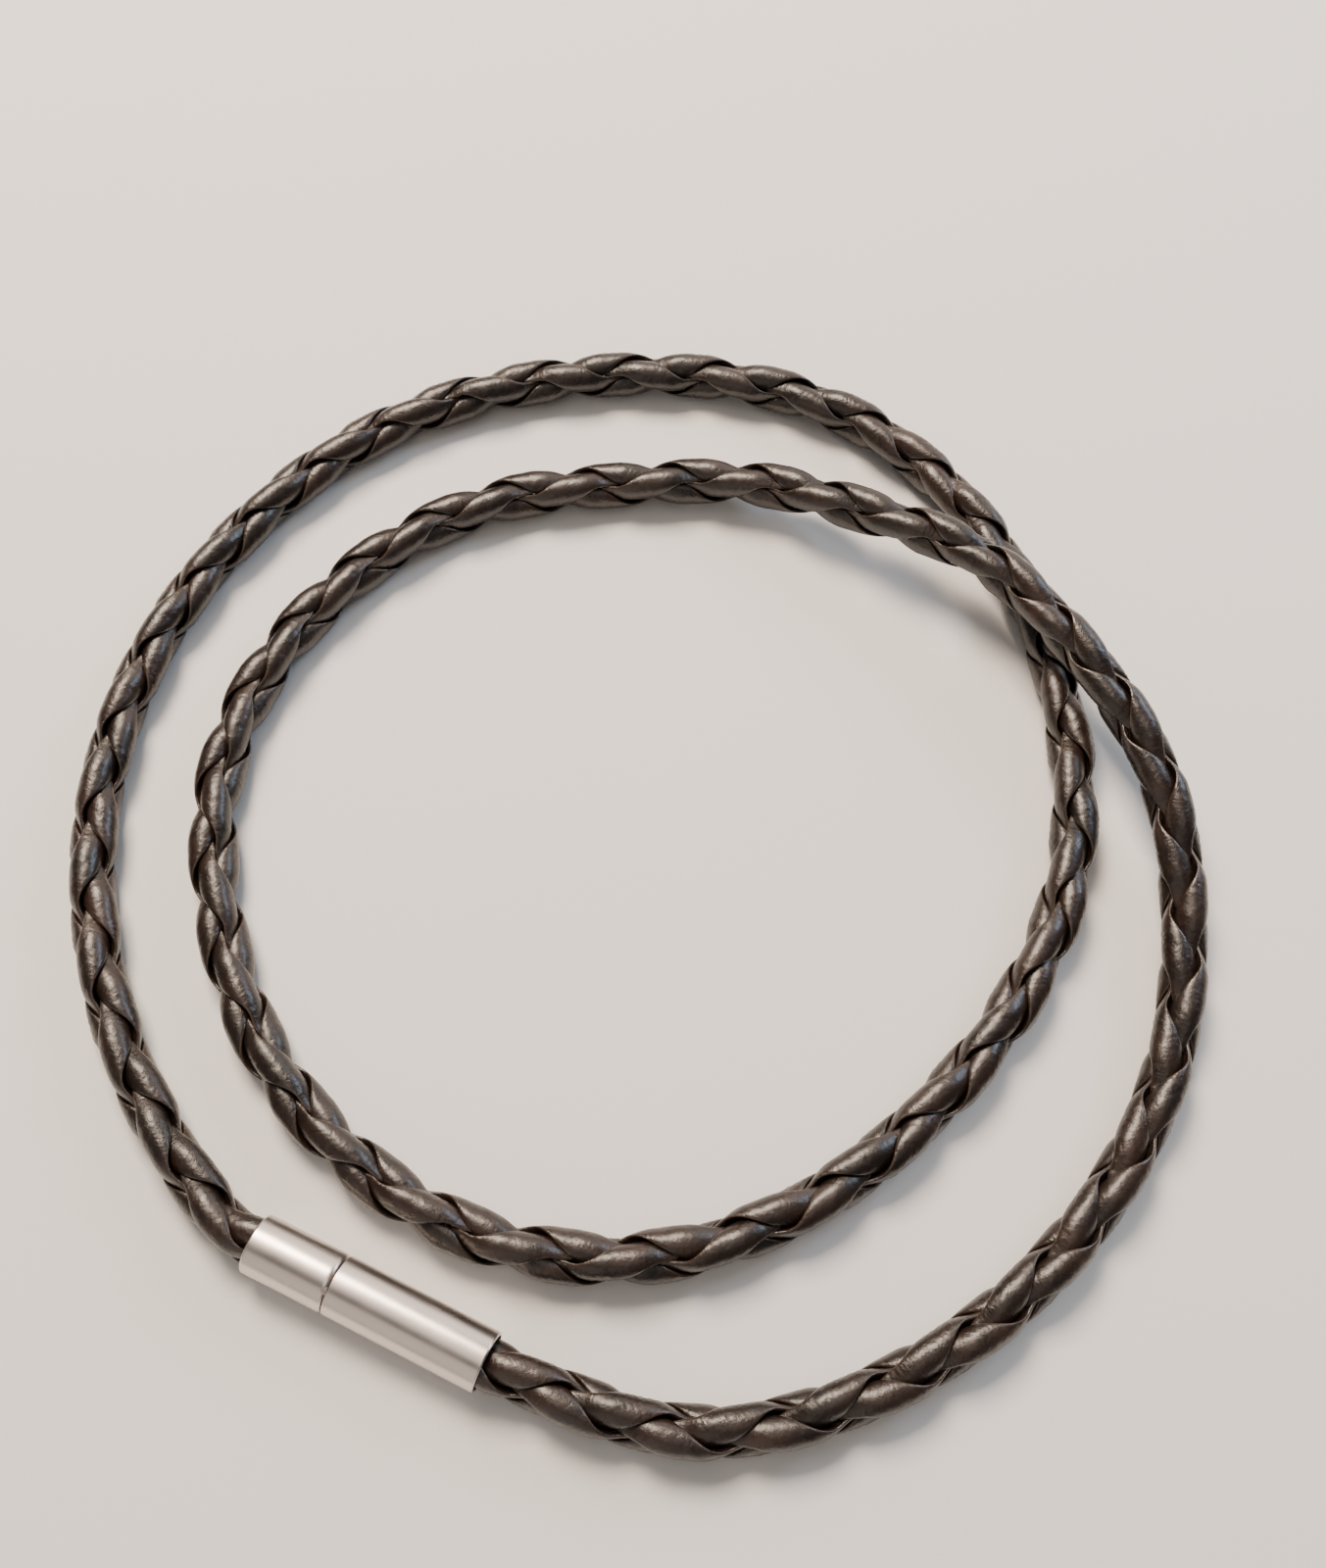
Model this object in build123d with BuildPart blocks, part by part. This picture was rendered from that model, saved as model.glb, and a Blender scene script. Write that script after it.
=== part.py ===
from build123d import *
from math import atan2, cos, degrees, hypot, pi, radians, sin
import os

os.makedirs("parts", exist_ok=True)

# A 50 cm leather cord necklace, lying doubled into two turns on a flat surface.
# Four flat laces are plaited round into one cord, which ends in the two sleeves
# of a steel bayonet clasp. Millimetres, +Z up, the surface is Z = 0, and the
# origin is the middle of the two turns.

# Plait
lace_width = 2.25               # across one flat lace
lace_thickness = 0.75           # at the middle of a lace
lace_clearance = 0.14           # between laces that cross
lay_length = 15.6               # cord length in which a lace goes once round
under_share = 0.31              # where a lace passes under, as a share of its width
under_curl = 0.275              # how far its edges curl in there, as a share of it too
over_curl = 0.03                # and where it passes over
hug_share = 0.1                 # how far it hugs its neighbours between over and under
lace_lean = 33.0                # degrees it leans there
first_turn = -11.5              # degrees round the cord where the first lace starts
lie_clearance = 0.03            # under the lowest laces
crossing_clearance = 0.4        # between the two turns where they cross
stations_per_turn = 12          # facets along a lace in one lay length

# Bayonet clasp
clasp_diameter = 4.6
sleeve_wall = 0.2               # round the plait
short_sleeve_length = 6.9
long_sleeve_length = 12.6
seam_gap = 0.12                 # between the two sleeves
rim_chamfer = 0.15
seam_bevel = 0.4                # along the short sleeve's edge at the seam
seam_edge = 0.06                # chamfer of the long sleeve's edge there
web_thickness = 0.8             # closes each sleeve's bore behind the plait
socket_wall = 0.68              # of the long sleeve round the short one's plug
plug_length = 4.2
plug_clearance = 0.12           # round the plug and its pin
pin_diameter = 0.9              # bayonet pin across the plug
pin_setback = 2.3               # from the seam to the pin's middle
pin_height = 0.25               # how far the pin stands out of the plug
lock_turn = 60.0                # degrees from the slot's mouth to where the pin locks
notch_width = 0.5               # sides of the index notch in the short sleeve's rim
notch_depth = 0.35
end_clearance = 0.15            # round and behind the plait's ends in the bores
neck_length = 4.0               # of plait outside a sleeve that narrows to its bore

# Where the clasp lies: its seam, and its axis, from the short to the long sleeve
seam_x = -21.6
seam_y = -36.3
clasp_turn = -25.4              # degrees from +X
notch_turn = -70.0              # degrees about the axis, from its level side to the notch

# Points of the cord's middle line between the sleeves, chosen by hand along the
# two turns: x, y and the rise over a lying cord, as a share of the rise where the
# turns cross. The line is the smooth curve that these points pull towards them.
ROUTE = (
    (-38.0, -22.5, 0.0),
    (-42.5, -13.0, 0.0),
    (-45.0, -2.0, 0.0),
    (-44.5, 9.5, 0.0),
    (-41.0, 20.5, 0.0),
    (-35.0, 30.0, 0.0),
    (-26.5, 38.5, 0.0),
    (-16.0, 44.0, 0.0),
    (-3.5, 46.5, 0.0),
    (9.5, 46.0, 0.0),
    (21.0, 41.5, 0.0),
    (30.0, 32.5, 0.0),
    (35.5, 21.0, 0.0),
    (37.5, 8.5, 0.0),
    (36.5, -4.0, 0.0),
    (31.0, -15.0, 0.0),
    (22.5, -24.5, 0.0),
    (12.5, -31.5, 0.0),
    (1.0, -35.0, 0.0),
    (-11.0, -33.5, 0.0),
    (-21.5, -27.5, 0.0),
    (-29.5, -18.5, 0.0),
    (-34.0, -7.5, 0.0),
    (-35.5, 4.5, 0.0),
    (-32.0, 16.0, 0.0),
    (-23.5, 26.5, 0.0),
    (-13.0, 32.5, 0.0),
    (-0.5, 34.0, 0.0),
    (11.0, 34.0, 0.13),
    (21.0, 29.0, 0.66),
    (31.0, 23.5, 1.0),
    (38.5, 13.5, 1.0),
    (44.0, 3.5, 0.66),
    (45.0, -8.0, 0.13),
    (42.5, -20.0, 0.0),
    (36.0, -30.5, 0.0),
    (27.0, -39.0, 0.0),
    (15.5, -45.0, 0.0),
    (4.0, -47.0, 0.0),
)

# Roll of the plait about its own middle line, in degrees, at shares of its length
ROLL = (
    (0.0, 60.0),
    (0.1, 68.0),
    (0.17, 94.0),
    (0.24, 140.0),
    (0.3, 150.0),
    (0.35, 136.0),
    (0.4, 108.0),
    (0.45, 136.0),
    (0.5, 172.0),
    (0.56, 194.0),
    (0.63, 213.0),
    (0.71, 219.0),
    (0.79, 246.0),
    (0.86, 232.0),
    (0.92, 220.0),
    (1.0, 215.0),
)

# Section of a lace, seen along it: across is a share of half its width, and out
# a share of half its thickness
LACE_SECTION = (
    {"across": -1.0, "out": 0.0},
    {"across": -0.6, "out": 1.0},
    {"across": 0.6, "out": 1.0},
    {"across": 1.0, "out": 0.0},
    {"across": 0.0, "out": -0.6},
)

under_radius = under_share * lace_width
over_radius = under_radius + lace_thickness + lace_clearance
lay_angle = atan2(2 * pi * over_radius, lay_length)
plait_radius = max(
    hypot(
        over_radius + row["out"] * lace_thickness / 2,
        row["across"] * lace_width / 2 * cos(lay_angle),
    )
    for row in LACE_SECTION
)
cord_height = plait_radius + lie_clearance
crossing_rise = 2 * plait_radius + crossing_clearance
clasp_radius = clasp_diameter / 2
sleeve_bore = clasp_diameter - 2 * sleeve_wall
plug_diameter = clasp_diameter - 2 * (socket_wall + plug_clearance)
long_web = plug_length + plug_clearance
clasp_axis = Vector(cos(radians(clasp_turn)), sin(radians(clasp_turn)), 0)
seam = Vector(seam_x, seam_y, clasp_radius)
clasp_side = clasp_axis.cross(Vector(0, 0, 1))
clasp_plane = Plane(origin=seam, x_dir=clasp_axis, z_dir=clasp_side)
socket_radius = plug_diameter / 2 + plug_clearance
slot_radius = hypot(plug_diameter / 2 + pin_height, pin_diameter / 2) + plug_clearance
slot_width = pin_diameter + 2 * plug_clearance


def on_clasp(distance):
    """A point of the clasp's axis, from the seam towards the long sleeve."""
    return seam + clasp_axis * distance


def around_clasp(turn):
    """A direction square to the clasp's axis, from its level side, in degrees."""
    level = clasp_side * cos(radians(turn))
    return level + clasp_axis.cross(clasp_side) * sin(radians(turn))


pin_plane = Plane(origin=on_clasp(pin_setback), x_dir=clasp_axis, z_dir=clasp_side)
notch_way = around_clasp(notch_turn)
notch_spot = on_clasp(-seam_gap / 2) + notch_way * clasp_radius
notch_plane = Plane(origin=notch_spot, x_dir=clasp_axis, z_dir=notch_way)


# The cord's middle line, from one bore's bottom to the other's
mouth_step = 1.0                # inside each mouth, where the line is still straight
lead_out = 3.0                  # and outside, where it may start to bend
end_reach = lace_width / 2 * sin(lay_angle) + end_clearance
short_end = seam_gap / 2 + web_thickness + end_reach
long_end = long_web + web_thickness + end_reach
pull_points = [
    on_clasp(-short_end),
    on_clasp(mouth_step - short_sleeve_length),
    on_clasp(-lead_out - short_sleeve_length),
]
pull_points += [Vector(x, y, cord_height + rise * crossing_rise) for x, y, rise in ROUTE]
pull_points += [
    on_clasp(long_sleeve_length + lead_out),
    on_clasp(long_sleeve_length - mouth_step),
    on_clasp(long_end),
]

with BuildLine() as cord_line:
    start = pull_points[0]
    for here, following in zip(pull_points[1:-2], pull_points[2:-1]):
        joint = (here + following) / 2
        Bezier(start, here, joint)
        start = joint
    Bezier(start, pull_points[-2], pull_points[-1])

cord = cord_line.wires()[0]
cord_length = cord.length
short_tail = short_sleeve_length - short_end
long_tail = long_sleeve_length - long_end
bore_share = (sleeve_bore / 2 - end_clearance) / plait_radius


def plait_roll(share):
    """The plait's roll in radians, at a share of the cord's length."""
    for (low, low_roll), (high, high_roll) in zip(ROLL, ROLL[1:]):
        if share <= high:
            return radians(low_roll + (high_roll - low_roll) * (share - low) / (high - low))
    return radians(ROLL[-1][1])


def squeeze(distance):
    """How far the plait is pressed together near and inside the sleeves."""
    outside = min(distance - short_tail, cord_length - long_tail - distance)
    ease = min(max(outside / neck_length, 0), 1)
    return bore_share + (1 - bore_share) * ease * ease * (3 - 2 * ease)


class Station:
    """A place along the cord, with its own side and up directions."""

    def __init__(self, share):
        self.distance = share * cord_length
        self.middle = cord.position_at(share)
        self.along = cord.tangent_at(share)
        self.side = Vector(0, 0, 1).cross(self.along).normalized()
        self.up = self.along.cross(self.side)
        self.roll = plait_roll(share)
        self.squeeze = squeeze(self.distance)


step_count = round(cord_length / lay_length * stations_per_turn)
stations = [Station(n / step_count) for n in range(step_count + 1)]
turn_rate = 2 * pi / stations_per_turn * step_count / cord_length


def lace_ring(station, way, start_turn):
    """The corners of a lace's section where it passes a station."""
    rate = way * turn_rate
    turn = rate * station.distance + start_turn + way * radians(first_turn)
    wave = way * cos(2 * turn)
    reach = (over_radius - under_radius) / 2
    radius = (over_radius + under_radius) / 2 + reach * wave
    radius_rate = -2 * rate * way * reach * sin(2 * turn)
    between = way * sin(2 * turn)
    lean = radians(lace_lean) * between
    curl = lace_width * (under_curl * (1 - wave) + over_curl * (1 + wave)) / 2
    hug = lace_width * hug_share * between
    angle = turn + station.roll
    outward = station.side * cos(angle) + station.up * sin(angle)
    around = station.up * cos(angle) - station.side * sin(angle)
    heading = (station.along + outward * radius_rate + around * (radius * rate)).normalized()
    face = outward * cos(lean) + around * sin(lean)
    face = (face - heading * face.dot(heading)).normalized()
    width_way = heading.cross(face)
    corners = []
    for row in LACE_SECTION:
        across = row["across"]
        out = row["out"] * lace_thickness / 2 + hug * across * abs(across) - curl * across ** 2
        offset = outward * radius + width_way * (across * lace_width / 2) + face * out
        corners.append(station.middle + offset * station.squeeze)
    return corners


def lace_solid(way, start_turn):
    """A whole lace, as one closed solid of small flat faces."""
    rings = [lace_ring(station, way, start_turn) for station in stations]
    faces = []
    sides = len(LACE_SECTION)
    for near, far in zip(rings, rings[1:]):
        for n in range(sides):
            m = (n + 1) % sides
            # outer sides bulge, and inner sides are hollow
            bulges = LACE_SECTION[n]["out"] + LACE_SECTION[m]["out"] > 0
            if ((far[m] - near[n]).length < (far[n] - near[m]).length) == bulges:
                faces.append(flat_face(near[n], near[m], far[m]))
                faces.append(flat_face(near[n], far[m], far[n]))
            else:
                faces.append(flat_face(near[n], near[m], far[n]))
                faces.append(flat_face(near[m], far[m], far[n]))
    for ring in (rings[0], rings[-1]):
        for n in range(1, sides - 1):
            faces.append(flat_face(ring[0], ring[n], ring[n + 1]))
    return Solid(Shell(faces))


def flat_face(a, b, c):
    """One flat three-cornered face."""
    return Face(Wire.make_polygon([a, b, c], close=True))


with BuildPart() as lace_1:
    add(lace_solid(1, 0))
lace_1.part.label = "lace_1"

with BuildPart() as lace_2:
    add(lace_solid(1, pi))
lace_2.part.label = "lace_2"

with BuildPart() as lace_3:
    add(lace_solid(-1, 0))
lace_3.part.label = "lace_3"

with BuildPart() as lace_4:
    add(lace_solid(-1, pi))
lace_4.part.label = "lace_4"

with BuildPart() as short_sleeve:
    # sleeve, web and plug are one turning about the clasp's axis
    with BuildSketch(clasp_plane):
        with BuildLine():
            Polyline(
                (-seam_gap / 2 - web_thickness, 0),
                (-seam_gap / 2 - web_thickness, sleeve_bore / 2),
                (-short_sleeve_length, sleeve_bore / 2),
                (-short_sleeve_length, clasp_radius - rim_chamfer),
                (rim_chamfer - short_sleeve_length, clasp_radius),
                (-seam_gap / 2 - seam_bevel, clasp_radius),
                (-seam_gap / 2, clasp_radius - rim_chamfer),
                (-seam_gap / 2, plug_diameter / 2),
                (plug_length - rim_chamfer, plug_diameter / 2),
                (plug_length, plug_diameter / 2 - rim_chamfer),
                (plug_length, 0),
                close=True,
            )
        make_face()
    revolve(axis=Axis(seam, clasp_axis))
    # bayonet pin, square across the plug
    with BuildSketch(pin_plane):
        Circle(pin_diameter / 2)
    extrude(amount=plug_diameter / 2 + pin_height, both=True)
    # index notch in the rim at the seam
    with BuildSketch(notch_plane):
        Rectangle(notch_width, notch_width, rotation=45)
    extrude(amount=-notch_depth, mode=Mode.SUBTRACT)
short_sleeve.part.label = "short_sleeve"

with BuildPart() as long_sleeve:
    with BuildSketch(clasp_plane):
        with BuildLine():
            Polyline(
                (long_web, 0),
                (long_web, socket_radius),
                (seam_gap / 2, socket_radius),
                (seam_gap / 2, clasp_radius - seam_edge),
                (seam_gap / 2 + seam_edge, clasp_radius),
                (long_sleeve_length - rim_chamfer, clasp_radius),
                (long_sleeve_length, clasp_radius - rim_chamfer),
                (long_sleeve_length, sleeve_bore / 2),
                (long_web + web_thickness, sleeve_bore / 2),
                (long_web + web_thickness, 0),
                close=True,
            )
        make_face()
    revolve(axis=Axis(seam, clasp_axis))
    # the pin slides in along two straight slots, then turns in two grooves
    with BuildSketch(Plane(origin=seam, x_dir=clasp_side, z_dir=clasp_axis)):
        Rectangle(2 * slot_radius, slot_width, rotation=lock_turn)
    extrude(amount=pin_setback + slot_width / 2, mode=Mode.SUBTRACT)
    for turn in (0, 180):
        groove_start = turn - degrees(slot_width / 2 / socket_radius)
        radial_way = around_clasp(groove_start)
        groove_plane = Plane(
            origin=on_clasp(pin_setback), x_dir=clasp_axis, z_dir=clasp_axis.cross(radial_way)
        )
        with BuildSketch(groove_plane):
            with Locations((0, slot_radius / 2)):
                Rectangle(slot_width, slot_radius)
        revolve(
            axis=Axis(seam, clasp_axis),
            revolution_arc=lock_turn + turn - groove_start,
            mode=Mode.SUBTRACT,
        )
long_sleeve.part.label = "long_sleeve"

pieces = (lace_1, lace_2, lace_3, lace_4, short_sleeve, long_sleeve)
for piece in pieces:
    export_step(piece.part, f"parts/{piece.part.label}.step")

print("cord length", round(cord_length, 1), "stations", len(stations))
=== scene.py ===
from math import atan2, cos, pi, radians, sin

import bmesh
import bpy
from mathutils import Matrix, Vector


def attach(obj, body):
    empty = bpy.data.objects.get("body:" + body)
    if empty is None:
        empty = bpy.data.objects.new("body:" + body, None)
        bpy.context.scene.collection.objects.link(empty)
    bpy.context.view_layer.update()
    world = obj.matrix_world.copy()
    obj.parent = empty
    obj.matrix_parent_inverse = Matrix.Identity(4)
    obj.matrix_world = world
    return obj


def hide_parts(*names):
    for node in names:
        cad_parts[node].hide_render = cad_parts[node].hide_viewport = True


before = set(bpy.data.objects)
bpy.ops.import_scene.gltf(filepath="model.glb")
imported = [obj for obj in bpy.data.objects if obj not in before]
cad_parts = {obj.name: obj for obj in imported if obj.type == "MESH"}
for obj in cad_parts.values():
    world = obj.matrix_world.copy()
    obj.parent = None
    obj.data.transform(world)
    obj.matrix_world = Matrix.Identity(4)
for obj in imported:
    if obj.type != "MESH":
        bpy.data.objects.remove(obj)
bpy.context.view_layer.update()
mm = 0.001  # sizes below are in millimetres, and the scene is in metres
print("frame loaded with", len(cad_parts), "CAD nodes")


def linearColour(code):
    # an sRGB hex colour as linear red, green, blue and alpha
    shades = [int(code[n:n + 2], 16) / 255 for n in (1, 3, 5)]
    return [s / 12.92 if s <= 0.04045 else ((s + 0.055) / 1.055) ** 2.4 for s in shades] + [1.0]


def addNode(tree, kind, settings=None, inputs=None):
    # an input that is another node's output gets a link, and any other value is set
    node = tree.nodes.new(kind)
    for name, value in (settings or {}).items():
        setattr(node, name, value)
    for socket, value in (inputs or {}).items():
        if isinstance(value, bpy.types.NodeSocket):
            tree.links.new(value, node.inputs[socket])
        else:
            node.inputs[socket].default_value = value
    return node


# The camera stands where the photograph was taken from, over the near side
camera = {
    "place": (2.5, -46.1, 120.0),
    "target": (2.5, 3.9, 2.15),
    "focalLength": 34.9,
    "sensor": 36.0,
    "clip": (0.005, 20.0),  # metres
}
cameraData = bpy.data.cameras.new("photoCamera")
cameraData.sensor_fit = "VERTICAL"
cameraData.sensor_width = cameraData.sensor_height = camera["sensor"]
cameraData.lens = camera["focalLength"]
cameraData.clip_start, cameraData.clip_end = camera["clip"]
photoCamera = bpy.data.objects.new("photoCamera", cameraData)
bpy.context.collection.objects.link(photoCamera)
photoCamera.location = Vector(camera["place"]) * mm
sight = Vector(camera["target"]) - Vector(camera["place"])
photoCamera.rotation_euler = sight.to_track_quat("-Z", "Y").to_euler()
bpy.context.scene.camera = photoCamera
print("camera placed")

# The clasp: two turned sleeves on one axis, which the cord's ends enter
clasp = {
    "diameter": 4.6,
    "wall": 0.2,             # round the plait
    "shortLength": 6.9,
    "longLength": 12.6,
    "seam": (-21.6, -36.3),  # where the two sleeves meet
    "turn": -25.4,           # degrees from +X to the long sleeve's way
    "seamGap": 0.12,
    "rim": 0.15,             # rounding of each outer edge
    "seamBevel": 0.4,        # along the short sleeve's edge at the seam
    "seamEdge": 0.06,        # and rounding of the long sleeve's edge there
    "seamBand": 1.0,         # from the seam to a ring that keeps the wall's shading level
    "web": 0.8,              # closes each bore behind the plait
    "plugDiameter": 3.0,
    "plugLength": 4.2,
    "plugClearance": 0.12,
    "notch": 0.5,            # sides of the index notch
    "notchDepth": 0.35,
    "notchTurn": -70.0,      # degrees about the axis, from its level side
    "sides": 144,            # round a sleeve
    "edgeSteps": 6,          # in the rounding of an edge
    "closeStep": 1.2,        # from an edge to the next ring, in shares of its rounding
    "sharpAngle": 35.0,      # degrees from which an edge is shaded sharp
}
claspRadius = clasp["diameter"] / 2
boreRadius = claspRadius - clasp["wall"]
claspAxis = Vector((cos(radians(clasp["turn"])), sin(radians(clasp["turn"])), 0))
claspSide = claspAxis.cross(Vector((0, 0, 1)))
claspSeam = Vector((*clasp["seam"], claspRadius))


def onClasp(distance):
    return claspSeam + claspAxis * distance


# The cord: four flat laces in a round plait
plait = {
    "laceWidth": 2.25,
    "laceThickness": 0.75,
    "widthFullness": 1.13,  # of a lace's section over the CAD's flat faces
    "fullness": 1.26,       # and of its thickness at the middle
    "clearance": 0.14,      # between laces that cross
    "layLength": 15.6,      # cord length in which a lace goes once round
    "facetsPerLay": 12,     # the CAD laces' own, which round the number of turns
    "underShare": 0.31,     # radius where a lace passes under, as a share of its width
    "underCurl": 0.275,     # how far its edges curl in there
    "overCurl": 0.13,       # and where it passes over, down on to the lace below
    "hug": 0.1,             # how far it hugs its neighbours in between
    "lean": 33.0,           # degrees it leans there
    "swell": 0.1,           # and how far it bulges out, as the soft cord does
    "firstTurn": -11.5,
    "flatHeight": 2.07,     # of the middle line where the cord lies flat
    "crossingRise": 4.48,   # and how much higher it is on the other turn
    "neck": 4.0,            # of plait outside a sleeve that narrows to its bore
    "boreShare": 0.956,     # how far it is pressed together in there
    "endClearance": 0.15,   # behind its ends in the bores
    "pullInside": 1.0,      # from a sleeve's end to the line's point in its bore
    "pullOutside": 3.0,     # and to the one outside, both on the clasp's axis
    "rings": 1240,          # along a lace
    "sides": 20,            # round it
    "widthForm": 0.75,      # of its section: 1 and 1 are an ellipse, and less is squarer
    "heightForm": 1.05,
    "curveSteps": 32,       # of the middle line, from one point to the next
}
# The cord's middle line. A point is x, y and the rise over a lying cord, as a share
# of the rise where the two turns cross
cordRoute = (
    (-38, -22.5, 0), (-42.5, -13, 0), (-45, -2, 0), (-44.5, 9.5, 0), (-41, 20.5, 0),
    (-35, 30, 0), (-26.5, 38.5, 0), (-16, 44, 0), (-3.5, 46.5, 0), (9.5, 46, 0),
    (21, 41.5, 0), (30, 32.5, 0), (35.5, 21, 0), (37.5, 8.5, 0), (36.5, -4, 0),
    (31, -15, 0), (22.5, -24.5, 0), (12.5, -31.5, 0), (1, -35, 0), (-11, -33.5, 0),
    (-21.5, -27.5, 0), (-29.5, -18.5, 0), (-34, -7.5, 0), (-35.5, 4.5, 0), (-32, 16, 0),
    (-23.5, 26.5, 0), (-13, 32.5, 0), (-0.5, 34, 0), (11, 34, 0.13), (21, 29, 0.66),
    (31, 23.5, 1), (38.5, 13.5, 1), (44, 3.5, 0.66), (45, -8, 0.13), (42.5, -20, 0),
    (36, -30.5, 0), (27, -39, 0), (15.5, -45, 0), (4, -47, 0),
)
# Roll of the plait about that line, in degrees, at shares of its length
plaitRoll = (
    (0, 60), (0.1, 68), (0.17, 94), (0.24, 140), (0.3, 150), (0.35, 136),
    (0.4, 108), (0.45, 136), (0.5, 172), (0.56, 194), (0.63, 213), (0.71, 219),
    (0.79, 246), (0.86, 232), (0.92, 220), (1, 215),
)

underRadius = plait["underShare"] * plait["laceWidth"]
overRadius = underRadius + plait["laceThickness"] + plait["clearance"]
layAngle = atan2(2 * pi * overRadius, plait["layLength"])
endReach = plait["laceWidth"] / 2 * sin(layAngle) + plait["endClearance"]
shortEnd = clasp["seamGap"] / 2 + clasp["web"] + endReach
longEnd = clasp["plugLength"] + clasp["plugClearance"] + clasp["web"] + endReach
pullDistances = (
    -shortEnd, plait["pullInside"] - clasp["shortLength"], -plait["pullOutside"] - clasp["shortLength"],
    clasp["longLength"] + plait["pullOutside"], clasp["longLength"] - plait["pullInside"], longEnd,
)
pullPoints = [onClasp(distance) for distance in pullDistances[:3]]
for x, y, rise in cordRoute:
    pullPoints.append(Vector((x, y, plait["flatHeight"] + rise * plait["crossingRise"])))
pullPoints += [onClasp(distance) for distance in pullDistances[3:]]

routeCurve = bpy.data.curves.new("cordRoute", "CURVE")
routeCurve.dimensions = "3D"
routeSpline = routeCurve.splines.new("NURBS")
routeSpline.points.add(len(pullPoints) - 1)
for point, place in zip(routeSpline.points, pullPoints):
    point.co = (*(place * mm), 1)
routeSpline.order_u = 3
routeSpline.use_endpoint_u = True
routeSpline.resolution_u = plait["curveSteps"]
routeDraft = bpy.data.objects.new("cordRouteDraft", routeCurve)
bpy.context.collection.objects.link(routeDraft)
routeMesh = bpy.data.meshes.new_from_object(routeDraft)
bpy.data.objects.remove(routeDraft)

routePlaces = [vertex.co.copy() for vertex in routeMesh.vertices]
routeDistances = [0.0]
for here, following in zip(routePlaces, routePlaces[1:]):
    routeDistances.append(routeDistances[-1] + (following - here).length)
cordLength = routeDistances[-1]
rollAttribute = routeMesh.attributes.new("plaitRoll", "FLOAT", "POINT")
for n, distance in enumerate(routeDistances):
    share = min(distance / cordLength, 1)
    for (low, lowRoll), (high, highRoll) in zip(plaitRoll, plaitRoll[1:]):
        if low <= share <= high:
            roll = lowRoll + (highRoll - lowRoll) * (share - low) / (high - low)
            rollAttribute.data[n].value = radians(roll)
print("cord route", round(cordLength / mm, 1), "mm long in", len(routePlaces), "points")

# Black leather lace: cut cowhide, dyed through and waxed. The wax gives a soft satin
# gloss, the dye is warm where it is thin, and the cut edges get a lighter colour, a painted highlight
# for the light they catch
leather = {
    "dye": "#17100B",
    "thinDye": "#2F211A",
    "thinFrom": (0.4, 0.72),     # from where to where the blotches' noise thins the dye
    # a lighter colour at the cut edges, a painted highlight for the light they catch
    "edge": "#372C24",
    "edgeFrom": 0.96,            # share of half the lace's width where its edge begins
    "roughness": 0.31,
    "glossSpread": (0.08, 0.1),  # how much smoother and rougher it gets along the fibres
    "edgeShine": 0.1,            # and how much smoother the pressed edges are
    "wax": 0.3,
    "waxRoughness": 0.24,
    "grain": 0.28,               # mm across a grain, drawn coarser than real so that it shows
    "grainDepth": 0.05,          # mm
    "blotch": 5.0,               # mm across a change of dye
    "fibre": 0.5,                # mm across a line that stretching leaves along the lace
    "fibreStretch": 0.12,        # its width as a share of its length
    "fibreCount": 2.2,           # cells of their noise across half the lace's width
    "fibreStrength": 0.35,
    "fibreDepth": 0.08,          # mm
    "wrinkle": 0.4,              # mm from one cross crease to the next
    "wrinkleCount": 0.9,         # cells of their noise across half the lace's width
    "wrinkleDepth": 0.06,        # mm
}
blackLeather = bpy.data.materials.new("waxedBlackLeather")
blackLeather.use_nodes = True
tree = blackLeather.node_tree
tree.nodes.clear()
lacePlace = addNode(tree, "ShaderNodeAttribute", {"attribute_name": "lacePlace"}).outputs["Vector"]
objectPlace = addNode(tree, "ShaderNodeTexCoord").outputs["Object"]
parts = addNode(tree, "ShaderNodeSeparateXYZ", None, {0: lacePlace})
edgeShare = addNode(tree, "ShaderNodeMath", {"operation": "ABSOLUTE"}, {0: parts.outputs["Y"]})
edgeMask = addNode(tree, "ShaderNodeMapRange", {"interpolation_type": "SMOOTHSTEP"}, {
    "Value": edgeShare.outputs[0], "From Min": leather["edgeFrom"], "From Max": 1.0})
blotches = addNode(tree, "ShaderNodeTexNoise", None, {
    "Vector": objectPlace, "Scale": 1 / (leather["blotch"] * mm), "Detail": 4.0, "Roughness": 0.6})
dyeMask = addNode(tree, "ShaderNodeMapRange", None, {
    "Value": blotches.outputs[0],
    "From Min": leather["thinFrom"][0], "From Max": leather["thinFrom"][1]})
dye = addNode(tree, "ShaderNodeMix", {"data_type": "RGBA"}, {
    "Factor": dyeMask.outputs[0],
    6: linearColour(leather["dye"]), 7: linearColour(leather["thinDye"])})
# the dye, with the painted edge highlight mixed in at the lace's edges
colour = addNode(tree, "ShaderNodeMix", {"data_type": "RGBA"}, {
    "Factor": edgeMask.outputs[0], 6: dye.outputs[2], 7: linearColour(leather["edge"])})
stretch = addNode(tree, "ShaderNodeMapping", None, {
    "Vector": lacePlace, "Scale": (
        leather["fibreStretch"] / (leather["fibre"] * mm),
        leather["fibreCount"], leather["fibreCount"])})
fibres = addNode(tree, "ShaderNodeTexNoise", None, {
    "Vector": stretch.outputs[0], "Scale": 1.0, "Detail": 3.0})
grain = addNode(tree, "ShaderNodeTexNoise", None, {
    "Vector": objectPlace, "Scale": 1 / (leather["grain"] * mm), "Detail": 5.0, "Roughness": 0.65})
creaseStretch = addNode(tree, "ShaderNodeMapping", None, {
    "Vector": lacePlace, "Scale": (
        1 / (leather["wrinkle"] * mm), leather["wrinkleCount"], leather["wrinkleCount"])})
creases = addNode(tree, "ShaderNodeTexNoise", None, {
    "Vector": creaseStretch.outputs[0], "Scale": 1.0, "Detail": 2.0})
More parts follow.
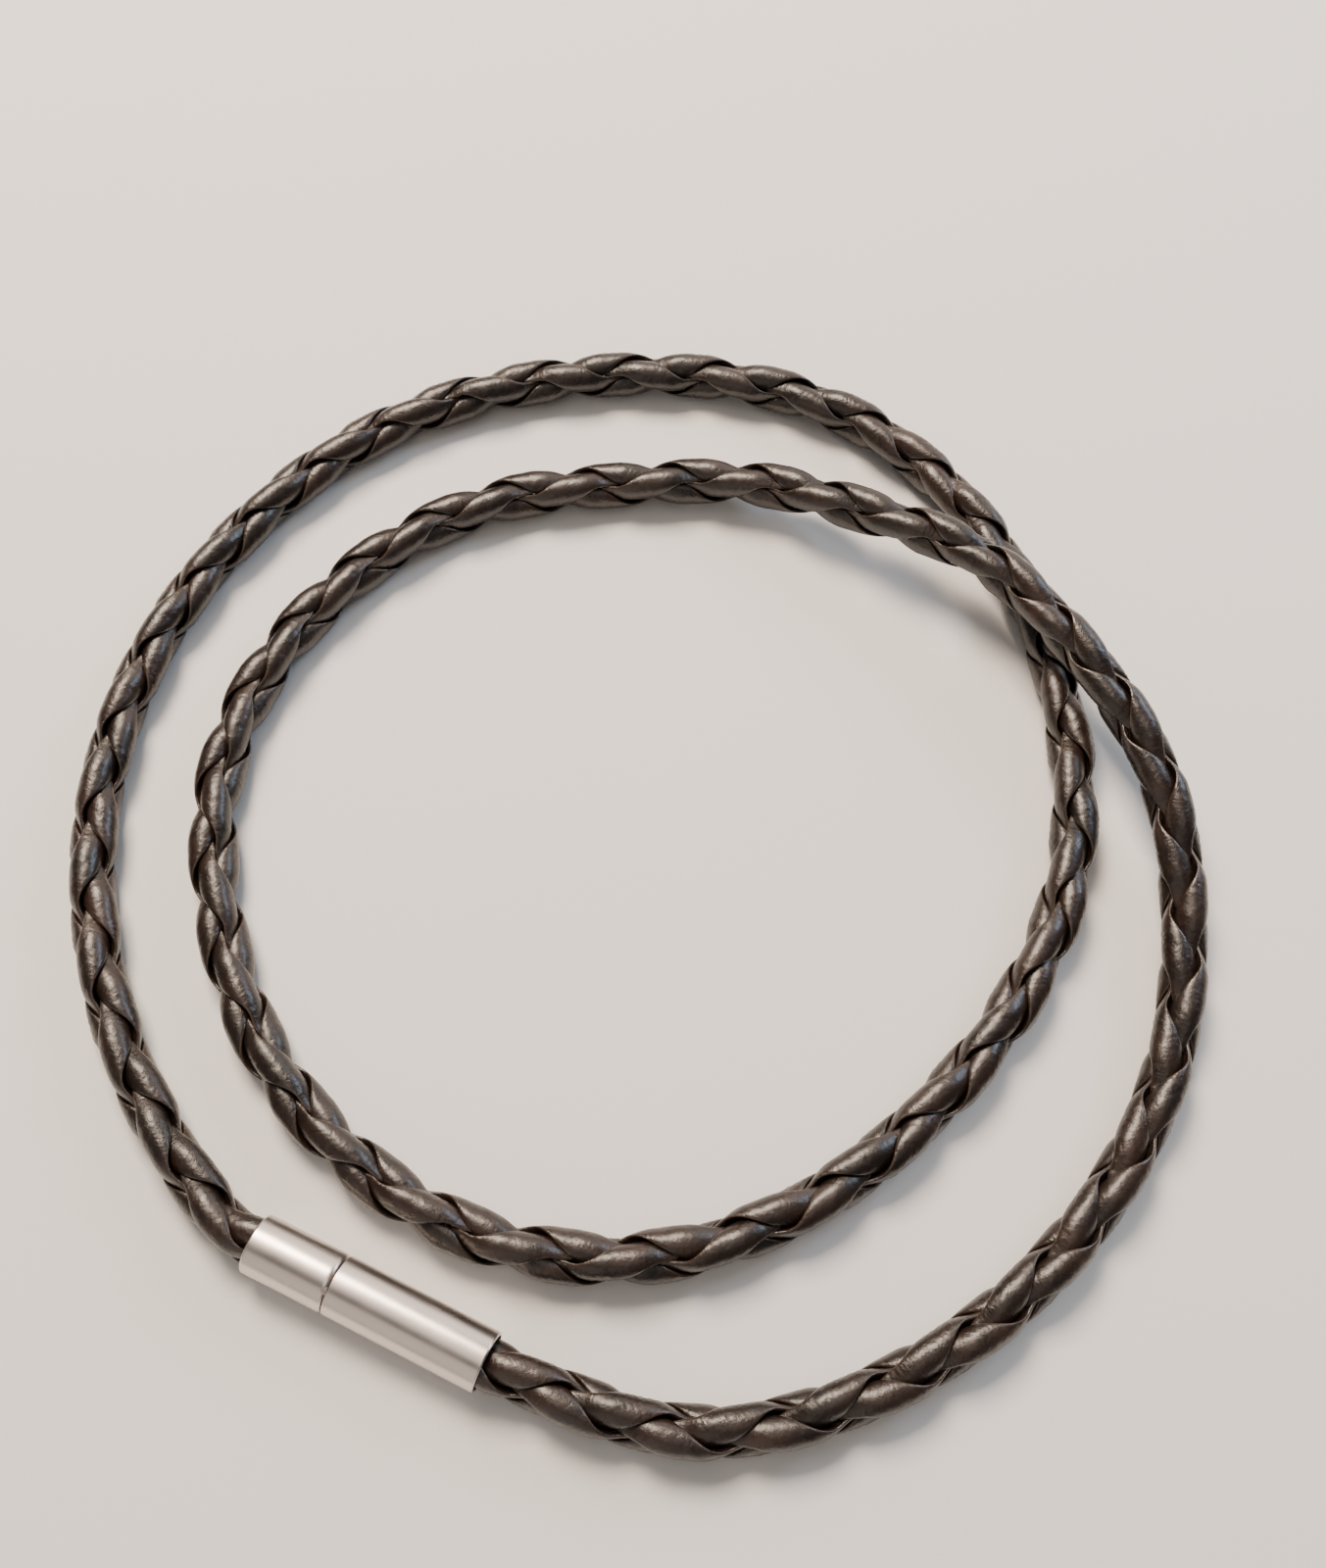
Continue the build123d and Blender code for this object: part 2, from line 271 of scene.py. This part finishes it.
gloss = addNode(tree, "ShaderNodeMapRange", None, {
    "Value": fibres.outputs[0], "From Min": 0.3, "From Max": 0.7,
    "To Min": leather["roughness"] - leather["glossSpread"][0],
    "To Max": leather["roughness"] + leather["glossSpread"][1]})
edgeGloss = addNode(tree, "ShaderNodeMath", {"operation": "MULTIPLY_ADD"}, {
    0: edgeMask.outputs[0], 1: -leather["edgeShine"], 2: gloss.outputs[0]})
fibreBump = addNode(tree, "ShaderNodeBump", None, {
    "Height": fibres.outputs[0], "Strength": leather["fibreStrength"],
    "Distance": leather["fibreDepth"] * mm})
creaseBump = addNode(tree, "ShaderNodeBump", None, {
    "Height": creases.outputs[0], "Strength": 1.0,
    "Distance": leather["wrinkleDepth"] * mm, "Normal": fibreBump.outputs[0]})
grainBump = addNode(tree, "ShaderNodeBump", None, {
    "Height": grain.outputs[0], "Strength": 1.0,
    "Distance": leather["grainDepth"] * mm, "Normal": creaseBump.outputs[0]})
shader = addNode(tree, "ShaderNodeBsdfPrincipled", None, {
    "Base Color": colour.outputs[2], "Roughness": edgeGloss.outputs[0], "IOR": 1.5,
    "Coat Weight": leather["wax"], "Coat Roughness": leather["waxRoughness"],
    "Normal": grainBump.outputs[0], "Coat Normal": creaseBump.outputs[0]})
addNode(tree, "ShaderNodeOutputMaterial", None, {"Surface": shader.outputs[0]})
print("leather finished")

# One lace as Geometry Nodes: a tube's rings are set along the route, and its section
# weaves over and under as it winds round it
laceTree = bpy.data.node_groups.new("plaitedLace", "GeometryNodeTree")
laceTree.interface.new_socket("Geometry", in_out="OUTPUT", socket_type="NodeSocketGeometry")
laceTree.interface.new_socket("Route", in_out="INPUT", socket_type="NodeSocketGeometry")
laceSizes = {
    "Way": 1.0,
    "Start Turn": 0.0,
    "Turns": round(cordLength / mm / plait["layLength"] * plait["facetsPerLay"]) / plait["facetsPerLay"],
    "Lace Width": plait["laceWidth"] * plait["widthFullness"] * mm,
    "Lace Thickness": plait["laceThickness"] * plait["fullness"] * mm,
    "Under Radius": underRadius * mm,
    "Over Radius": overRadius * mm,
    "Under Curl": plait["underCurl"] * plait["laceWidth"] * mm,
    "Over Curl": plait["overCurl"] * plait["laceWidth"] * mm,
    "Hug": plait["hug"] * plait["laceWidth"] * mm,
    "Lean": radians(plait["lean"]),
    "Swell": plait["swell"] * mm,
    "Width Form": plait["widthForm"],
    "Height Form": plait["heightForm"],
    "Short Tail": (clasp["shortLength"] - shortEnd) * mm,
    "Long Tail": (clasp["longLength"] - longEnd) * mm,
    "Neck": plait["neck"] * mm,
    "Bore Share": plait["boreShare"],
}
socketKinds = {name: "NodeSocketFloat" for name in laceSizes}
socketKinds.update({"Rings": "NodeSocketInt", "Sides": "NodeSocketInt", "Finish": "NodeSocketMaterial"})
laceSockets = {}
for name, kind in socketKinds.items():
    laceSockets[name] = laceTree.interface.new_socket(name, in_out="INPUT", socket_type=kind)

given = addNode(laceTree, "NodeGroupInput").outputs
line = addNode(laceTree, "GeometryNodeMeshToCurve", None, {"Mesh": given["Route"]}).outputs[0]
length = addNode(laceTree, "GeometryNodeCurveLength", None, {"Curve": line}).outputs[0]
tube = addNode(laceTree, "GeometryNodeMeshCylinder", {"fill_type": "NGON"}, {
    "Vertices": given["Sides"], "Side Segments": given["Rings"],
    "Radius": 1.0, "Depth": 1.0}).outputs["Mesh"]
tubePlace = addNode(laceTree, "ShaderNodeSeparateXYZ", None, {
    0: addNode(laceTree, "GeometryNodeInputPosition").outputs[0]}).outputs
tubeShare = addNode(laceTree, "ShaderNodeMath", {"operation": "SUBTRACT"}, {
    0: 0.5, 1: tubePlace["Z"]}).outputs[0]
distance = addNode(laceTree, "ShaderNodeMath", {"operation": "MULTIPLY"}, {
    0: tubeShare, 1: length}).outputs[0]
storedRoll = addNode(laceTree, "GeometryNodeInputNamedAttribute", {"data_type": "FLOAT"}, {
    "Name": "plaitRoll"}).outputs[0]
station = addNode(laceTree, "GeometryNodeSampleCurve", {"mode": "LENGTH", "data_type": "FLOAT"}, {
    "Curves": line, "Value": storedRoll, "Length": distance}).outputs

steps = {
    "way": given["Way"],
    "start": given["Start Turn"],
    "turns": given["Turns"],
    "width": given["Lace Width"],
    "thickness": given["Lace Thickness"],
    "under": given["Under Radius"],
    "over": given["Over Radius"],
    "hugReach": given["Hug"],
    "leanMost": given["Lean"],
    "swell": given["Swell"],
    "widthForm": given["Width Form"],
    "heightForm": given["Height Form"],
    "shortTail": given["Short Tail"],
    "longTail": given["Long Tail"],
    "length": length,
    "distance": distance,
    "x": tubePlace["X"],
    "y": tubePlace["Y"],
    "roll": station["Value"],
    "middle": station["Position"],
    "along": station["Tangent"],
    "zenith": (0.0, 0.0, 1.0),
}
# result, kind of sum, and what goes in: numbers first, then directions in space
numberSteps = (
    ("windings", "DIVIDE", "turns", "length"),
    ("turnRate", "MULTIPLY", "windings", 2 * pi),
    ("rate", "MULTIPLY", "turnRate", "way"),
    ("turn", "MULTIPLY_ADD", "distance", "rate", "start"),
    ("twice", "MULTIPLY", "turn", 2.0),
    ("sine", "SINE", "twice"),
    ("cosine", "COSINE", "twice"),
    ("wave", "MULTIPLY", "cosine", "way"),      # 1 where the lace is over, -1 where it is under
    ("between", "MULTIPLY", "sine", "way"),     # and halfway, the way it crosses
    ("spread", "SUBTRACT", "over", "under"),
    ("reach", "MULTIPLY", "spread", 0.5),
    ("middleRadius", "ADD", "under", "reach"),
    ("halfway", "MULTIPLY", "sine", "sine"),
    ("swollen", "MULTIPLY_ADD", "halfway", "swell", "middleRadius"),
    ("radius", "MULTIPLY_ADD", "wave", "reach", "swollen"),
    ("swellWave", "MULTIPLY", "wave", "swell"),
    ("slope", "MULTIPLY_ADD", "swellWave", -2.0, "reach"),
    ("climb", "MULTIPLY", "sine", "slope"),
    ("climbRate", "MULTIPLY", "climb", "turnRate"),
    ("radiusRate", "MULTIPLY", "climbRate", -2.0),
    ("sweep", "MULTIPLY", "radius", "rate"),
    ("lean", "MULTIPLY", "between", "leanMost"),
    ("hug", "MULTIPLY", "between", "hugReach"),
    ("angle", "ADD", "turn", "roll"),
    ("acrossSize", "ABSOLUTE", "x"),
    ("acrossWay", "SIGN", "x"),
    ("acrossForm", "POWER", "acrossSize", "widthForm"),
    ("across", "MULTIPLY", "acrossForm", "acrossWay"),
    ("outSize", "ABSOLUTE", "y"),
    ("outWay", "SIGN", "y"),
    ("outForm", "POWER", "outSize", "heightForm"),
    ("out", "MULTIPLY", "outForm", "outWay"),
    ("halfWidth", "MULTIPLY", "width", 0.5),
    ("halfThickness", "MULTIPLY", "thickness", 0.5),
    ("sideways", "MULTIPLY", "across", "halfWidth"),
    ("acrossSquare", "MULTIPLY", "across", "across"),
    ("acrossOdd", "MULTIPLY", "acrossForm", "across"),
    ("dome", "MULTIPLY", "out", "halfThickness"),
    ("domeHug", "MULTIPLY_ADD", "acrossOdd", "hug", "dome"),
    ("fromShort", "SUBTRACT", "distance", "shortTail"),
    ("toEnd", "SUBTRACT", "length", "distance"),
    ("fromLong", "SUBTRACT", "toEnd", "longTail"),
    ("outside", "MINIMUM", "fromShort", "fromLong"),
)
for result, operation, *terms in numberSteps:
    values = {n: steps[term] if isinstance(term, str) else term for n, term in enumerate(terms)}
    steps[result] = addNode(laceTree, "ShaderNodeMath", {"operation": operation}, values).outputs[0]
curl = addNode(laceTree, "ShaderNodeMapRange", None, {
    "Value": steps["wave"], "From Min": -1.0, "From Max": 1.0,
    "To Min": given["Under Curl"], "To Max": given["Over Curl"]}).outputs[0]
curled = addNode(laceTree, "ShaderNodeMath", {"operation": "MULTIPLY"}, {
    0: steps["acrossSquare"], 1: curl}).outputs[0]
steps["outwards"] = addNode(laceTree, "ShaderNodeMath", {"operation": "SUBTRACT"}, {
    0: steps["domeHug"], 1: curled}).outputs[0]
steps["squeeze"] = addNode(laceTree, "ShaderNodeMapRange", {"interpolation_type": "SMOOTHSTEP"}, {
    "Value": steps["outside"], "From Min": 0.0, "From Max": given["Neck"],
    "To Min": given["Bore Share"], "To Max": 1.0}).outputs[0]
directionSteps = (
    ("sideRaw", "CROSS_PRODUCT", "zenith", "along"),
    ("side", "NORMALIZE", "sideRaw"),
    ("outward", "TURN", "side", "angle"),
    ("around", "CROSS_PRODUCT", "along", "outward"),
    ("leaned", "TURN", "outward", "lean"),
    ("rising", "SCALE", "outward", "radiusRate"),
    ("sweeping", "SCALE", "around", "sweep"),
    ("moving", "ADD", "rising", "sweeping"),
    ("heading", "ADD", "moving", "along"),
    ("widthRaw", "CROSS_PRODUCT", "heading", "leaned"),
    ("widthWay", "NORMALIZE", "widthRaw"),
    ("faceRaw", "CROSS_PRODUCT", "widthWay", "heading"),
    ("faceWay", "NORMALIZE", "faceRaw"),
    ("atRadius", "SCALE", "outward", "radius"),
    ("atSide", "SCALE", "widthWay", "sideways"),
    ("atFace", "SCALE", "faceWay", "outwards"),
    ("inPlane", "ADD", "atRadius", "atSide"),
    ("offset", "ADD", "inPlane", "atFace"),
    ("pressed", "SCALE", "offset", "squeeze"),
    ("place", "ADD", "middle", "pressed"),
)
for result, operation, first, *others in directionSteps:
    if operation == "TURN":  # about the cord's own line
        steps[result] = addNode(laceTree, "ShaderNodeVectorRotate", None, {
            "Vector": steps[first], "Axis": steps["along"], "Angle": steps[others[0]]}).outputs[0]
        continue
    values = {0: steps[first]}
    for other in others:
        values["Scale" if operation == "SCALE" else 1] = steps[other]
    steps[result] = addNode(laceTree, "ShaderNodeVectorMath", {
        "operation": operation}, values).outputs[0]

lacePlaceField = addNode(laceTree, "ShaderNodeCombineXYZ", None, {
    "X": distance, "Y": steps["across"], "Z": steps["out"]}).outputs[0]
marked = addNode(laceTree, "GeometryNodeStoreNamedAttribute", {
    "data_type": "FLOAT_VECTOR", "domain": "POINT"}, {
    "Geometry": tube, "Name": "lacePlace", "Value": lacePlaceField}).outputs[0]
laid = addNode(laceTree, "GeometryNodeSetPosition", None, {
    "Geometry": marked, "Position": steps["place"]}).outputs[0]
smooth = addNode(laceTree, "GeometryNodeSetShadeSmooth", None, {"Geometry": laid}).outputs[0]
real = addNode(laceTree, "GeometryNodeRealizeInstances", None, {"Geometry": smooth}).outputs[0]
dressed = addNode(laceTree, "GeometryNodeSetMaterial", None, {
    "Geometry": real, "Material": given["Finish"]}).outputs[0]
addNode(laceTree, "NodeGroupOutput", None, {"Geometry": dressed})

laces = (
    {"name": "laceA", "node": "lace_1", "way": 1, "start": 0.0},
    {"name": "laceB", "node": "lace_2", "way": 1, "start": pi},
    {"name": "laceC", "node": "lace_3", "way": -1, "start": 0.0},
    {"name": "laceD", "node": "lace_4", "way": -1, "start": pi},
)
for lace in laces:
    draft = bpy.data.objects.new(lace["name"] + "Draft", routeMesh)
    bpy.context.collection.objects.link(draft)
    modifier = draft.modifiers.new("plaitedLace", "NODES")
    modifier.node_group = laceTree
    laceSizes["Way"] = float(lace["way"])
    laceSizes["Start Turn"] = lace["start"] + lace["way"] * radians(plait["firstTurn"])
    for name, size in laceSizes.items():
        modifier[laceSockets[name].identifier] = size
    modifier[laceSockets["Rings"].identifier] = plait["rings"]
    modifier[laceSockets["Sides"].identifier] = plait["sides"]
    modifier[laceSockets["Finish"].identifier] = blackLeather
    graph = bpy.context.evaluated_depsgraph_get()
    laceMesh = bpy.data.meshes.new_from_object(draft.evaluated_get(graph))
    bpy.data.objects.remove(draft)
    laceMesh.name = lace["name"]
    piece = bpy.data.objects.new(lace["name"], laceMesh)
    bpy.context.collection.objects.link(piece)
    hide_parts(lace["node"])
    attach(piece, "root")
    print(lace["name"], "plaited with", len(laceMesh.polygons), "faces")

# Polished stainless steel: turned from bar and polished. It reflects the studio
# softly, with faint rings that the lathe left round it
steel = {
    "colour": "#D6CEC8",
    "roughness": 0.29,
    "glossSpread": (0.02, 0.03),  # how much smoother and rougher the smudges make it
    "smudge": 2.5,                # mm across a change of gloss
    "ringSpacing": 0.09,          # mm, drawn coarser than the real turning marks
    "ringBreak": 90.0,            # cells of their noise in a metre across the clasp
    "ringStrength": 0.12,
    "ringDepth": 0.02,            # mm
}
stainless = bpy.data.materials.new("polishedStainlessSteel")
stainless.use_nodes = True
tree = stainless.node_tree
tree.nodes.clear()
objectPlace = addNode(tree, "ShaderNodeTexCoord").outputs["Object"]
turned = addNode(tree, "ShaderNodeMapping", {"vector_type": "TEXTURE"}, {
    "Vector": objectPlace, "Location": claspSeam * mm, "Rotation": (0, 0, radians(clasp["turn"]))})
ringStretch = addNode(tree, "ShaderNodeMapping", None, {
    "Vector": turned.outputs[0],
    "Scale": (1 / (steel["ringSpacing"] * mm), steel["ringBreak"], steel["ringBreak"])})
latheRings = addNode(tree, "ShaderNodeTexNoise", None, {
    "Vector": ringStretch.outputs[0], "Scale": 1.0, "Detail": 3.0})
smudges = addNode(tree, "ShaderNodeTexNoise", None, {
    "Vector": objectPlace, "Scale": 1 / (steel["smudge"] * mm), "Detail": 4.0})
gloss = addNode(tree, "ShaderNodeMapRange", None, {
    "Value": smudges.outputs[0], "From Min": 0.3, "From Max": 0.7,
    "To Min": steel["roughness"] - steel["glossSpread"][0],
    "To Max": steel["roughness"] + steel["glossSpread"][1]})
ringBump = addNode(tree, "ShaderNodeBump", None, {
    "Height": latheRings.outputs[0], "Strength": steel["ringStrength"],
    "Distance": steel["ringDepth"] * mm})
shader = addNode(tree, "ShaderNodeBsdfPrincipled", None, {
    "Base Color": linearColour(steel["colour"]), "Metallic": 1.0,
    "Roughness": gloss.outputs[0], "Normal": ringBump.outputs[0]})
addNode(tree, "ShaderNodeOutputMaterial", None, {"Surface": shader.outputs[0]})


def rounded(distance, radius, reach, depth):
    # a turned edge's quarter round, from its end face to its wall, with a close step
    # on the wall that keeps the wall's shading level
    quarter = []
    for n in range(clasp["edgeSteps"], -1, -1):
        turn = pi / 2 * n / clasp["edgeSteps"]
        quarter.append((distance + reach * (1 - sin(turn)), radius - depth * (1 - cos(turn))))
    return quarter + [(distance + reach * clasp["closeStep"], radius)]


def spokeAt(turn):
    # the way out from the clasp's axis at an angle about it, from its level side
    return claspSide * cos(turn) + claspAxis.cross(claspSide) * sin(turn)


def turnedPiece(name, profile):
    # turns the profile's (distance, radius) points about the clasp's axis, from pole to pole
    form = bmesh.new()
    rings = []
    for distance, radius in profile:
        count = clasp["sides"] if radius else 1
        ring = []
        for n in range(count):
            spoke = spokeAt(2 * pi * n / count)
            ring.append(form.verts.new((onClasp(distance) + spoke * radius) * mm))
        rings.append(ring)
    for near, far in zip(rings, rings[1:]):
        for n in range(clasp["sides"]):
            corners = (near[n % len(near)], near[(n + 1) % len(near)],
                       far[(n + 1) % len(far)], far[n % len(far)])
            form.faces.new(tuple(dict.fromkeys(corners)))
    bmesh.ops.recalc_face_normals(form, faces=form.faces)
    mesh = bpy.data.meshes.new(name)
    form.to_mesh(mesh)
    form.free()
    piece = bpy.data.objects.new(name, mesh)
    bpy.context.collection.objects.link(piece)
    return piece


halfGap = clasp["seamGap"] / 2
plugRadius = clasp["plugDiameter"] / 2
socketRadius = plugRadius + clasp["plugClearance"]
shortWeb = -halfGap - clasp["web"]
longWeb = clasp["plugLength"] + clasp["plugClearance"]
shortProfile = [(shortWeb, 0), (shortWeb, boreRadius), (-clasp["shortLength"], boreRadius)]
shortProfile += rounded(-clasp["shortLength"], claspRadius, clasp["rim"], clasp["rim"])
shortProfile.append((-clasp["seamBand"], claspRadius))
shortProfile += rounded(-halfGap, claspRadius, -clasp["seamBevel"], clasp["rim"])[::-1]
shortProfile += [(-halfGap, plugRadius), (clasp["plugLength"], plugRadius), (clasp["plugLength"], 0)]
longProfile = [(longWeb, 0), (longWeb, socketRadius), (halfGap, socketRadius)]
longProfile += rounded(halfGap, claspRadius, clasp["seamEdge"], clasp["seamEdge"])
longProfile += rounded(clasp["longLength"], claspRadius, -clasp["rim"], clasp["rim"])[::-1]
longProfile += [(clasp["longLength"], boreRadius), (longWeb + clasp["web"], boreRadius)]
longProfile.append((longWeb + clasp["web"], 0))
shortSleeve = turnedPiece("shortSleeve", shortProfile)
longSleeve = turnedPiece("longSleeve", longProfile)

# The index notch is a square hole set cornerwise on the short sleeve's rim
notchOut = spokeAt(radians(clasp["notchTurn"]))
notchSide = notchOut.cross(claspAxis)
cutterForm = bmesh.new()
bmesh.ops.create_cube(cutterForm, size=1.0)
turnIn = Matrix((claspAxis, notchSide, notchOut)).transposed().to_4x4()
sizeOut = Matrix.Diagonal((clasp["notch"], clasp["notch"], 2 * clasp["notchDepth"], 1))
turnCorner = Matrix.Rotation(radians(45), 4, "Z")
shift = Matrix.Translation((onClasp(-halfGap) + notchOut * claspRadius) * mm)
settle = shift @ Matrix.Scale(mm, 4) @ turnIn @ turnCorner @ sizeOut
bmesh.ops.transform(cutterForm, matrix=settle, verts=cutterForm.verts)
bmesh.ops.recalc_face_normals(cutterForm, faces=cutterForm.faces)
cutterMesh = bpy.data.meshes.new("notchCutter")
cutterForm.to_mesh(cutterMesh)
cutterForm.free()
cutter = bpy.data.objects.new("notchCutter", cutterMesh)
bpy.context.collection.objects.link(cutter)
cut = shortSleeve.modifiers.new("indexNotch", "BOOLEAN")
cut.object = cutter
cut.operation = "DIFFERENCE"
cut.solver = "EXACT"
graph = bpy.context.evaluated_depsgraph_get()
notched = bpy.data.meshes.new_from_object(shortSleeve.evaluated_get(graph))
shortSleeve.modifiers.clear()
shortSleeve.data = notched
bpy.data.objects.remove(cutter)

for piece, node in ((shortSleeve, "short_sleeve"), (longSleeve, "long_sleeve")):
    piece.data.shade_smooth()
    piece.data.set_sharp_from_angle(angle=radians(clasp["sharpAngle"]))
    piece.data.materials.clear()
    piece.data.materials.append(stainless)
    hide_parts(node)
    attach(piece, "root")
print("clasp turned")

# A plain pale matt floor
floorSizes = {"side": 4.0, "colour": "#E9E9E7", "roughness": 0.85}
floorForm = bmesh.new()
bmesh.ops.create_grid(floorForm, x_segments=1, y_segments=1, size=floorSizes["side"] / 2)
floorMesh = bpy.data.meshes.new("paleFloor")
floorForm.to_mesh(floorMesh)
floorForm.free()
paleFloor = bpy.data.objects.new("paleFloor", floorMesh)
bpy.context.collection.objects.link(paleFloor)
mattPaint = bpy.data.materials.new("mattPalePaint")
mattPaint.use_nodes = True
paint = mattPaint.node_tree.nodes["Principled BSDF"]
paint.inputs["Base Color"].default_value = linearColour(floorSizes["colour"])
paint.inputs["Roughness"].default_value = floorSizes["roughness"]
floorMesh.materials.append(mattPaint)

# Soft studio light: a big soft box overhead, turned along the clasp, one beyond the far
# side, a dim card on the near side, a small key light that gives the wax its gloss, and
# a cool glint. Places, aims and sizes are in metres
studio = (
    {"name": "overheadBox", "place": (-0.12, 0.22, 0.75), "aim": (0, 0.1, 0),
     "turn": clasp["turn"], "size": (0.42, 1.6), "power": 2.6, "colour": "#FFF0E4"},
    {"name": "farBox", "place": (0.3, 0.8, 0.34), "aim": (0, 0, 0.05),
     "turn": 0, "size": (0.8, 0.55), "power": 2.4, "colour": "#FFEFE2"},
    {"name": "nearCard", "place": (-0.35, -0.7, 0.42), "aim": (0, 0, 0.05),
     "turn": 0, "size": (0.8, 0.75), "power": 1.5, "colour": "#FFEBDD"},
    {"name": "key", "place": (-0.12, 0.3, 0.44), "aim": (0, 0, 0),
     "turn": 0, "size": (0.22, 0.22), "power": 5.8, "colour": "#FFE8D2"},
    {"name": "coolGlint", "place": (0.34, 0.22, 0.24), "aim": (0, 0, 0),
     "turn": 0, "size": (0.16, 0.16), "power": 0.9, "colour": "#CFE0F6"},
)
for row in studio:
    lightData = bpy.data.lights.new(row["name"], "AREA")
    lightData.shape = "RECTANGLE"
    lightData.size, lightData.size_y = row["size"]
    lightData.energy = row["power"]
    lightData.color = linearColour(row["colour"])[:3]
    light = bpy.data.objects.new(row["name"], lightData)
    bpy.context.collection.objects.link(light)
    light.location = row["place"]
    facing = (Vector(row["aim"]) - Vector(row["place"])).to_track_quat("-Z", "Y")
    lightTurn = Matrix.Rotation(radians(row["turn"]), 3, "Z") @ facing.to_matrix()
    light.rotation_euler = lightTurn.to_euler()

room = {"colour": "#E9EBEE", "strength": 0.12}
studioWorld = bpy.data.worlds.new("studioRoom")
bpy.context.scene.world = studioWorld
studioWorld.use_nodes = True
background = studioWorld.node_tree.nodes["Background"]
background.inputs["Color"].default_value = linearColour(room["colour"])
background.inputs["Strength"].default_value = room["strength"]
print("floor and lights set")
